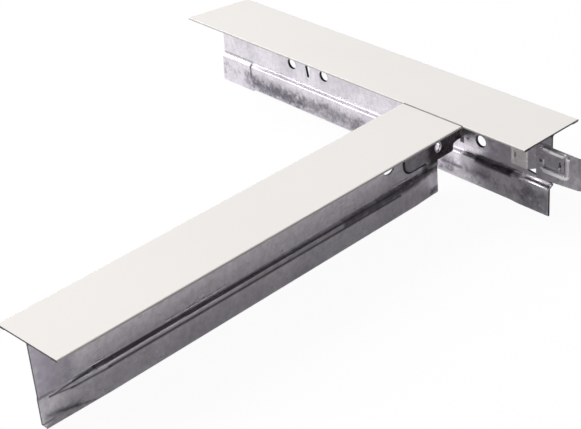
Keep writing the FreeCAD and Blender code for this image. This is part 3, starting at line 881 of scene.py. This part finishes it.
class Workshop:
    """Makes new pieces from bmesh forms and hands them to the frame.

    Attributes:
        MERGE: Distance under which vertices are merged, in metres.
        TUBE_SEGMENTS: Facets round a lip.
        RING_STEPS: Facets along a lip, round its hole.
        ROD_SEGMENTS: Facets round a roll.
        EASE: Width of a roll's eased ends, as a share of its radius.
        EASE_SEGMENTS: Facets across that width.
        LEVEL: Rise under which a roll's edge lies in its end, as a share of its radius.
        BALL_SEGMENTS: Facets round a ball, and from pole to pole.
    """

    MERGE = 1e-7
    TUBE_SEGMENTS = 10
    RING_STEPS = 48
    ROD_SEGMENTS = 24
    EASE = 0.6
    EASE_SEGMENTS = 3
    LEVEL = 0.01
    BALL_SEGMENTS = (24, 14)

    @classmethod
    def piece(cls, name: str, form: Form, material: bpy.types.Material, slot: Slot) -> None:
        """Turn a form into a piece that rides on the object.

        Args:
            name: The piece's name.
            form: The shape in the row frame; it is freed here.
            material: The finish it wears.
            slot: The record's material slot that the finish belongs to; not used.
        """
        bmesh.ops.remove_doubles(form, verts=form.verts, dist=cls.MERGE)
        bmesh.ops.recalc_face_normals(form, faces=form.faces)
        for face in form.faces:
            face.smooth = True
        mesh = bpy.data.meshes.new(name)
        form.to_mesh(mesh)
        form.free()
        mesh.materials.append(material)
        made = bpy.data.objects.new(name, mesh)
        bpy.context.collection.objects.link(made)
        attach(made, BODY)
        log.info("%s: %d faces", name, len(mesh.polygons))

    @staticmethod
    def _turned(form: Form, way: Vector) -> None:
        """Turn a form's Z to another way."""
        turn = Vector(ALONG_Z).rotation_difference(way).to_matrix().to_4x4()
        bmesh.ops.transform(form, matrix=turn, verts=form.verts)

    @classmethod
    def ring(
        cls, centre: Point, axis: Point, radius: float, tube: float, stretch: float = 1.0
    ) -> Form:
        """Round lip of a pressed edge, half sunk in the plate.

        Args:
            centre: Middle of the ring, in metres.
            axis: Unit vector through the hole.
            radius: Radius of the lip's middle line.
            tube: Radius of the lip itself.
            stretch: How much taller than wide the ring is.

        Returns:
            The ring as a closed form.
        """
        form = bmesh.new()
        bmesh.ops.create_circle(form, segments=cls.TUBE_SEGMENTS, radius=tube)
        bmesh.ops.translate(form, vec=(radius, 0.0, 0.0), verts=form.verts)
        upright = Matrix.Rotation(QUARTER_TURN, 4, "X")
        bmesh.ops.transform(form, matrix=upright, verts=form.verts)
        bmesh.ops.spin(
            form, geom=form.edges[:], cent=ORIGIN, axis=ALONG_Z,
            angle=math.tau, steps=cls.RING_STEPS, use_merge=True,
        )
        cls._turned(form, Vector(axis))
        bmesh.ops.scale(form, vec=(1.0, 1.0, stretch), verts=form.verts)
        bmesh.ops.translate(form, vec=centre, verts=form.verts)
        return form

    @classmethod
    def rod(cls, start: Point, end: Point, radius: float) -> Form:
        """Round roll between two points, with eased ends.

        Args:
            start: Middle of one end, in metres.
            end: Middle of the other end.
            radius: The roll's radius.

        Returns:
            The roll as a closed form.
        """
        form = bmesh.new()
        way = Vector(end) - Vector(start)
        bmesh.ops.create_cone(
            form, cap_ends=True, segments=cls.ROD_SEGMENTS,
            radius1=radius, radius2=radius, depth=way.length,
        )
        level = radius * cls.LEVEL
        rims = [edge for edge in form.edges if abs(edge.verts[0].co.z - edge.verts[1].co.z) < level]
        bmesh.ops.bevel(
            form, geom=rims, offset=radius * cls.EASE, offset_type="OFFSET",
            segments=cls.EASE_SEGMENTS, profile=0.5, affect="EDGES", material=-1,
            clamp_overlap=True,
        )
        cls._turned(form, way.normalized())
        bmesh.ops.translate(form, vec=(Vector(start) + Vector(end)) / 2, verts=form.verts)
        return form

    @classmethod
    def dimple(cls, centre: Point, half: Point) -> Form:
        """Low pressed boss: a flattened ball, half sunk in the plate.

        Args:
            centre: Middle of the boss, in metres.
            half: Half of its size along each axis.

        Returns:
            The boss as a closed form.
        """
        form = bmesh.new()
        around, along = cls.BALL_SEGMENTS
        bmesh.ops.create_uvsphere(form, u_segments=around, v_segments=along, radius=1.0)
        bmesh.ops.scale(form, vec=half, verts=form.verts)
        bmesh.ops.translate(form, vec=centre, verts=form.verts)
        return form


@dataclass
class SubAssembly:
    """What each sub-assembly has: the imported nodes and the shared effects."""

    nodes: Mapping[str, bpy.types.Object]
    effects: Effects

    def build(self) -> None:
        """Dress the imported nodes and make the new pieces."""
        raise NotImplementedError

    def dress(self, name: str, finish: Finish) -> bpy.types.Material:
        """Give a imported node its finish.

        Args:
            name: The node's name.
            finish: The finish.

        Returns:
            The material that the node now wears.
        """
        material = finish.make(self.effects)
        for slot in self.nodes[name].material_slots:
            slot.material = material
        log.info("%s wears %s", name, material.name)
        return material


@dataclass
class MainTee(SubAssembly):
    """Main tee: its web and cap, its punched edges, and the rolls on its pinched right end."""

    hole_radius: float = 2.0 * MM
    holes: tuple[Pair, ...] = (
        (-76.75 * MM, -10.7 * MM), (-60.75 * MM, -10.7 * MM), (8.8 * MM, -11.6 * MM),
    )
    web_side: float = -0.35 * MM
    lip_tube: float = 0.10 * MM
    burr_tube: float = 0.20 * MM
    slot_place: float = -68.75 * MM
    slot_top: Pair = (1.7 * MM, -5.6 * MM)
    slot_foot: Pair = (0.5 * MM, -13.6 * MM)
    roll_start: Point = (25.0 * MM, -1.62 * MM, -17.85 * MM)
    roll_end: Point = (35.6 * MM, -1.62 * MM, -17.85 * MM)
    roll_radius: float = 0.52 * MM
    neck_start: Point = (24.4 * MM, -0.40 * MM, -16.95 * MM)
    neck_end: Point = (35.2 * MM, -0.40 * MM, -16.95 * MM)
    neck_radius: float = 0.40 * MM

    def build(self) -> None:
        """Dress the web and the cap, and make the punched edges and the rolls."""
        zinc = self.dress("main_tee_web", self._zinc())
        self.dress("main_tee_cap", self._paint())
        self._punched_edges(zinc)
        self._rolls()

    def _punched_edges(self, zinc: bpy.types.Material) -> None:
        """Make the front lips of the holes, and the rear burrs of the holes and the slot, painted
        near-black as the shade inside them.

        Args:
            zinc: The web's material, which the lips wear too.
        """
        # Real burrs, painted near-black as painted shade inside the holes and the slot.
        burr_shade = ClipSteel(
            "zinc_burr_shade", Run.MAIN, light=(0.05, 0.047, 0.05), dark=(0.02, 0.019, 0.02), bump=0.1,
        ).make(self.effects)
        for number, (place_x, place_z) in enumerate(self.holes, start=1):
            centre = (place_x, self.web_side, place_z)
            radius = self.hole_radius + self.lip_tube
            lip = Workshop.ring(centre, ALONG_Y, radius, self.lip_tube)
            Workshop.piece(f"main_hole_lip_{number}", lip, zinc, Slot.STRIP)
            centre = (place_x, -self.web_side, place_z)
            burr = Workshop.ring(centre, ALONG_Y, self.hole_radius, self.burr_tube)
            Workshop.piece(f"main_hole_burr_{number}", burr, burr_shade, Slot.STRIP)
        for name, side in (("left", -1.0), ("right", 1.0)):
            start, end = (
                (self.slot_place + side * half_width, -self.web_side, height)
                for half_width, height in (self.slot_top, self.slot_foot)
            )
            burr = Workshop.rod(start, end, self.burr_tube)
            Workshop.piece(f"main_slot_burr_{name}", burr, burr_shade, Slot.STRIP)

    def _rolls(self) -> None:
        """Make the two bright rolls on the pinched right end."""
        rolled = RolledZinc("zinc_rolled", Run.MAIN).make(self.effects)
        roll = Workshop.rod(self.roll_start, self.roll_end, self.roll_radius)
        Workshop.piece("main_blade_roll", roll, rolled, Slot.STRIP)
        neck = Workshop.rod(self.neck_start, self.neck_end, self.neck_radius)
        Workshop.piece("main_blade_neck", neck, rolled, Slot.STRIP)

    @staticmethod
    def _zinc() -> GalvanisedStrip:
        """Zinc of the main tee, with the dark and light patches that the photograph shows, painted
        on as shade and highlights.

        Returns:
            The finish.
        """
        # Colours of painted shade, and of a painted highlight on the seat.
        deep_shade = (0.025, 0.023, 0.027)
        neck_shade = (0.10, 0.095, 0.105)
        ledge_shade = (0.46, 0.44, 0.48)
        seat_sheen = (0.95, 0.89, 0.87)
        mottled_shade = (0.175, 0.163, 0.193)
        painted_shading = (
            # Painted shade: dark lines and a grey band on the left pinched end, mottled shade low
            # on the bulb, the crease where the full bulb starts, the dark band on the shoulder
            # right of the cross tee, a dark patch beside the joint, the dark line between the
            # rolls, and the flange's right end face.
            PaintedShading((-106.0, -0.4, -16.55), (8.0, 0.3, 0.14), 0.2, 0.2, 0.80, neck_shade),
            PaintedShading((-106.5, -1.0, -17.7), (7.6, 1.2, 0.8), 0.4, 0.6, 0.55, ledge_shade),
            PaintedShading((-85.0, -1.9, -24.0), (14.0, 1.0, 1.6), 4.6, 9.5, 1.0, mottled_shade, grain=720.0),
            PaintedShading((-58.0, -1.9, -23.0), (15.0, 1.0, 1.8), 4.6, 9.0, 0.68, mottled_shade, grain=720.0),
            PaintedShading((-98.9, -1.8, -19.6), (0.5, 1.5, 2.2), 0.7, 1.4, 0.85, deep_shade),
            PaintedShading((14.5, -1.2, -17.7), (7.2, 2.2, 1.0), 1.3, 0.7, 0.90, deep_shade),
            PaintedShading((22.0, -1.2, -17.5), (2.6, 2.2, 0.8), 1.0, 0.6, 0.55, deep_shade),
            PaintedShading((7.5, -1.9, -20.5), (6.0, 1.0, 3.0), 3.0, 2.0, 0.45, mottled_shade),
            PaintedShading((31.0, -1.9, -23.5), (5.5, 1.0, 4.0), 3.0, 8.0, 0.60, mottled_shade),
            PaintedShading((-2.0, -1.9, -22.6), (4.2, 1.0, 0.4), 1.0, 1.1, 0.90, mottled_shade),
            PaintedShading((8.5, -1.9, -22.3), (4.5, 1.0, 0.6), 2.6, 4.0, 0.75, mottled_shade, grain=720.0),
            PaintedShading((1.2, -0.4, -13.5), (0.8, 0.4, 1.0), 0.4, 0.5, 0.94, deep_shade),
            PaintedShading((31.0, -1.0, -17.4), (4.5, 0.3, 0.9), 0.3, 0.2, 0.85, deep_shade),
            PaintedShading((35.3, 0.0, -0.5), (0.4, 12.5, 0.4), 0.2, 0.0, 0.95, deep_shade, 0.2),
            # Painted highlight on the raised seat.
            PaintedShading((23.7, -0.6, -9.8), (3.2, 0.4, 5.0), 0.6, 0.3, 0.90, seat_sheen, 0.45),
        )
        ends = {"low_end": -112.0 * MM, "high_end": 35.7 * MM}
        return GalvanisedStrip("zinc_main", Run.MAIN, painted_shading, **ends)

    @staticmethod
    def _paint() -> CapPaint:
        """Paint of the main tee, with painted shadow on its front edge where the cross tee butts
        against it.
        """
        butt_shadow = PaintedShading((0.0, -11.95, -0.2), (11.9, 0.16, 0.6), 0.16, 0.1, 0.75, BUTT_SHADOW)
        return CapPaint("paint_main", Run.MAIN, (butt_shadow,), low_end=-110.0 * MM, high_end=30.0 * MM)


@dataclass
class CrossTee(SubAssembly):
    """Cross tee: its web and cap, the lip of its hole, and the bright crest of its bulb."""

    hole: Point = (0.35 * MM, -31.9 * MM, -9.2 * MM)
    hole_radius: float = 2.6 * MM
    crest: tuple[Point, ...] = (
        (0.86 * MM, -148.3 * MM, -18.80 * MM),
        (1.70 * MM, -139.6 * MM, -17.72 * MM),
        (1.74 * MM, -112.0 * MM, -17.68 * MM),
    )
    crest_radius: float = 0.13 * MM
    lip_tube: float = 0.10 * MM

    def build(self) -> None:
        """Dress the web and the cap, and make the lip and the crest."""
        zinc = self.dress("cross_tee_web", self._zinc())
        self.dress("cross_tee_cap", self._paint())
        lip = Workshop.ring(self.hole, ALONG_X, self.hole_radius + self.lip_tube, self.lip_tube)
        Workshop.piece("cross_hole_lip", lip, zinc, Slot.STRIP)
        rolled = RolledZinc("zinc_crest", Run.CROSS).make(self.effects)
        for name, start, end in zip(("near", "far"), self.crest, self.crest[1:]):
            crest = Workshop.rod(start, end, self.crest_radius)
            Workshop.piece(f"cross_crest_{name}", crest, rolled, Slot.STRIP)

    @staticmethod
    def _zinc() -> GalvanisedStrip:
        """Zinc of the cross tee, with painted shade in its creases, at its foot, beside its clip
        and on the upper web towards its near end.

        Returns:
            The finish.
        """
        # Colours of painted shade.
        crease_shade = (0.10, 0.092, 0.105)
        lilac = (0.31, 0.28, 0.355)
        deep_shade = (0.03, 0.027, 0.026)
        painted_shading = (
            # Painted shade: the upper web darker towards its near end, dark lines along the ledge
            # and shoulder of the bulb, darker ledge by the joint, dark patches at the foot by both
            # ends, shade beside the joint and a dark rim round the clip's pocket.
            PaintedShading((0.3, -155.0, -8.5), (0.6, 7.5, 9.5), 7.0, 4.0, 0.90, lilac),
            PaintedShading((0.4, -151.4, -18.45), (0.7, 3.9, 0.26), 0.3, 0.1, 0.80, crease_shade, lean=0.157),
            PaintedShading((0.8, -144.7, -17.6), (0.7, 3.6, 0.26), 0.3, 0.1, 0.85, crease_shade, lean=0.080),
            PaintedShading((1.0, -83.5, -17.55), (1.4, 58.5, 0.28), 0.3, 0.1, 0.88, crease_shade, lean=-0.0044),
            PaintedShading((0.4, -151.3, -19.2), (0.7, 3.8, 0.26), 0.4, 0.1, 0.75, crease_shade, lean=-0.085),
            PaintedShading((1.2, -143.0, -19.25), (1.0, 6.2, 0.34), 0.6, 0.2, 0.80, crease_shade, lean=0.045),
            PaintedShading((1.7, -83.5, -19.34), (1.1, 54.5, 0.42), 0.6, 0.2, 0.84, crease_shade, lean=-0.008),
            PaintedShading((1.2, -55.0, -18.4), (1.4, 37.0, 0.8), 2.4, 1.6, 0.40, crease_shade),
            PaintedShading((1.2, -33.0, -18.4), (1.4, 20.0, 1.1), 1.8, 1.4, 0.85, crease_shade),
            PaintedShading((0.3, -12.2, -26.2), (1.0, 2.2, 1.0), 1.6, 1.4, 0.65, deep_shade),
            PaintedShading((0.6, -152.5, -24.8), (0.9, 4.6, 0.6), 2.4, 2.4, 0.72, crease_shade, lean=-0.13),
            PaintedShading((0.9, -148.0, -25.7), (0.9, 5.0, 0.3), 0.6, 0.8, 0.55, crease_shade, lean=-0.18),
            PaintedShading((0.8, -12.5, -17.5), (3.0, 5.0, 2.4), 2.2, 1.4, 0.75, deep_shade),
            PaintedShading((0.18, -20.9, -9.75), (0.09, 7.0, 7.0), 0.1, 0.0, 0.90, deep_shade),
        )
        return GalvanisedStrip(
            "zinc_cross", Run.CROSS, painted_shading, light=(0.90, 0.865, 0.915),
            dark=(0.55, 0.515, 0.575), high_end=150.0 * MM, bulb_shade_share=0.12,
        )

    @staticmethod
    def _paint() -> CapPaint:
        """Paint of the cross tee, with painted shadow on its butt end."""
        butt_shadow = PaintedShading((0.0, -12.32, -0.2), (11.9, 0.20, 0.6), 0.20, 0.1, 0.70, BUTT_SHADOW)
        return CapPaint("paint_cross", Run.CROSS, (butt_shadow,), high_end=150.0 * MM)


@dataclass
class SpliceClip(SubAssembly):
    """Splice clip: its plate, with a pressed bead, a stake and two lanced tongues."""

    plate_side: float = -0.85 * MM
    bead_left: float = 32.6 * MM
    bead_right: float = 41.7 * MM
    bead_top: float = -5.0 * MM
    bead_foot: float = -12.0 * MM
    bead_half_width: float = 1.00 * MM
    bead_height: float = 0.80 * MM
    bead_segments: int = 20
    bend: float = 0.9 * MM
    tip: float = 0.7 * MM
    tip_share: float = 0.3
    stake: Point = (31.9 * MM, -0.90 * MM, -9.2 * MM)
    stake_radius: float = 1.15 * MM
    stake_tube: float = 0.22 * MM
    lances: tuple[float, ...] = (33.6 * MM, 39.4 * MM)
    lance_z: float = -9.5 * MM
    tongue_setback: float = 0.75 * MM
    tongue_half: Point = (0.55 * MM, 0.26 * MM, 1.15 * MM)

    def build(self) -> None:
        """Dress the plate, and make the bead, the stake's ring and the tongues."""
        # Painted shade on the plate's bent end and round the stake and the lances; a painted
        # highlight on the bead's lower run.
        deep_shade = (0.03, 0.027, 0.028)
        gleam = (1.0, 0.98, 1.0)
        painted_shading = (
            PaintedShading((46.7, -0.8, -10.0), (1.2, 2.0, 8.0), 0.6, 0.4, 0.50, deep_shade),
            PaintedShading((32.4, -0.9, -9.3), (0.5, 0.6, 0.5), 0.5, 0.4, 0.80, deep_shade),
            PaintedShading((39.0, -0.9, -8.6), (0.3, 0.6, 0.9), 0.4, 0.4, 0.80, deep_shade),
        )
        steel = self.dress("main_splice_clip", ClipSteel("clip_main", Run.MAIN, painted_shading))
        # Painted highlight: light, less metallic zinc on the bead's lower run.
        bead_gleam = PaintedShading((37.4, -1.2, -12.2), (4.8, 1.2, 0.8), 0.4, 0.3, 0.92, gleam, 0.1)
        pressed = ClipSteel(
            "clip_pressed", Run.MAIN, (bead_gleam,), light=(0.90, 0.87, 0.90), dark=(0.58, 0.56, 0.59),
            smooth=0.14, rough=0.26, bump=0.03,
        ).make(self.effects)
        Workshop.piece("splice_bead", self._bead(), pressed, Slot.CLIP)
        ring = Workshop.ring(self.stake, ALONG_Y, self.stake_radius, self.stake_tube)
        Workshop.piece("splice_stake_ring", ring, steel, Slot.CLIP)
        for number, place_x in enumerate(self.lances, start=1):
            centre = (place_x - self.tongue_setback, self.plate_side, self.lance_z)
            tongue = Workshop.dimple(centre, self.tongue_half)
            Workshop.piece(f"splice_tongue_{number}", tongue, steel, Slot.CLIP)

    def _bead(self) -> Form:
        """Sweep the U-shaped bead: a tip, a run, a bend, the short side, a bend, a run and a tip.

        Returns:
            The bead as a closed form.
        """
        form = bmesh.new()
        start = Vector((self.bead_left, self.plate_side, self.bead_top))
        bmesh.ops.create_circle(form, cap_ends=True, segments=self.bead_segments, radius=1.0)
        bmesh.ops.scale(form, vec=(self.bead_height, self.bead_half_width, 1.0), verts=form.verts)
        upright = Matrix(((0.0, 0.0, 1.0), (-1.0, 0.0, 0.0), (0.0, 1.0, 0.0))).to_4x4()
        bmesh.ops.transform(form, matrix=upright, verts=form.verts)
        bmesh.ops.translate(form, vec=start, verts=form.verts)
        bmesh.ops.scale(
            form, vec=(1.0, self.tip_share, self.tip_share), verts=form.verts,
            space=Matrix.Translation(-start),
        )
        run = self.bead_right - self.bend - self.bead_left - self.tip
        side = self.bead_foot - self.bead_top + 2 * self.bend
        corner_x = self.bead_right - self.bend
        end = self._extrude(form, form.faces[:], (self.tip, 0.0, 0.0), 1.0 / self.tip_share)
        end = self._extrude(form, end, (run, 0.0, 0.0))
        end = self._turn(form, end, (corner_x, self.plate_side, self.bead_top - self.bend))
        end = self._extrude(form, end, (0.0, 0.0, side))
        end = self._turn(form, end, (corner_x, self.plate_side, self.bead_foot + self.bend))
        end = self._extrude(form, end, (-run, 0.0, 0.0))
        self._extrude(form, end, (-self.tip, 0.0, 0.0), self.tip_share)
        return form

    @staticmethod
    def _extrude(form: Form, end: Faces, way: Point, growth: float = 1.0) -> Faces:
        """Carry the end face on along a straight run.

        Args:
            form: The bead so far.
            end: Its end face.
            way: How far the face goes, in metres.
            growth: How much the face grows on its way.

        Returns:
            The new end face.
        """
        made = bmesh.ops.extrude_face_region(form, geom=end)["geom"]
        verts = [part for part in made if isinstance(part, bmesh.types.BMVert)]
        bmesh.ops.translate(form, vec=way, verts=verts)
        if growth != 1.0:
            middle = sum((vert.co for vert in verts), Vector()) / len(verts)
            space = Matrix.Translation(-middle)
            bmesh.ops.scale(form, vec=(growth,) * 3, verts=verts, space=space)
        return [part for part in made if isinstance(part, bmesh.types.BMFace)]

    @staticmethod
    def _turn(form: Form, end: Faces, corner: Point, steps: int = 8) -> Faces:
        """Carry the end face round a right-angled bend.

        Args:
            form: The bead so far.
            end: Its end face.
            corner: Middle of the bend, in metres.
            steps: Number of facets round the bend.

        Returns:
            The new end face.
        """
        made = bmesh.ops.spin(
            form, geom=end, cent=corner, axis=ALONG_Y, angle=QUARTER_TURN, steps=steps,
            use_merge=False,
        )["geom_last"]
        return [part for part in made if isinstance(part, bmesh.types.BMFace)]


@dataclass
class EndClip(SubAssembly):
    """End clip of the cross tee: its bent plate, with the lip of its window."""

    window: Point = (0.27 * MM, -10.4 * MM, -12.0 * MM)
    window_radius: float = 1.15 * MM
    window_stretch: float = 1.27
    lip_tube: float = 0.20 * MM

    def build(self) -> None:
        """Dress the plate, and make the window's lip."""
        # Painted shade on the clip's blade and nose beside the main tee, weaker further from it.
        deep_shade = (0.03, 0.027, 0.025)
        painted_shading = (
            PaintedShading((0.5, -6.0, -10.0), (2.0, 8.5, 10.0), 2.2, 2.4, 0.82, deep_shade),
            PaintedShading((0.5, -20.0, -10.0), (2.0, 7.0, 10.0), 2.2, 2.4, 0.25, deep_shade),
        )
        self.dress("cross_end_clip", ClipSteel("clip_cross", Run.CROSS, painted_shading))
        radius = self.window_radius + self.lip_tube
        lip = Workshop.ring(self.window, ALONG_X, radius, self.lip_tube, self.window_stretch)
        bright = ClipSteel(
            "clip_lip", Run.CROSS, light=(0.86, 0.83, 0.86), dark=(0.60, 0.58, 0.61), bump=0.06,
        ).make(self.effects)
        Workshop.piece("clip_window_lip", lip, bright, Slot.CLIP)


def main() -> None:
    """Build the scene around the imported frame."""
    logging.basicConfig(level=logging.INFO, format="%(name)s: %(message)s")
    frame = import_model()
    bpy.context.view_layer.update()
    effects = Effects()
    for part in (MainTee, CrossTee, SpliceClip, EndClip):
        part(frame["nodes"], effects).build()
        log.info("%s is built", part.__name__)
    Studio().build()
    bpy.context.view_layer.update()


if __name__ == "__main__":
    main()
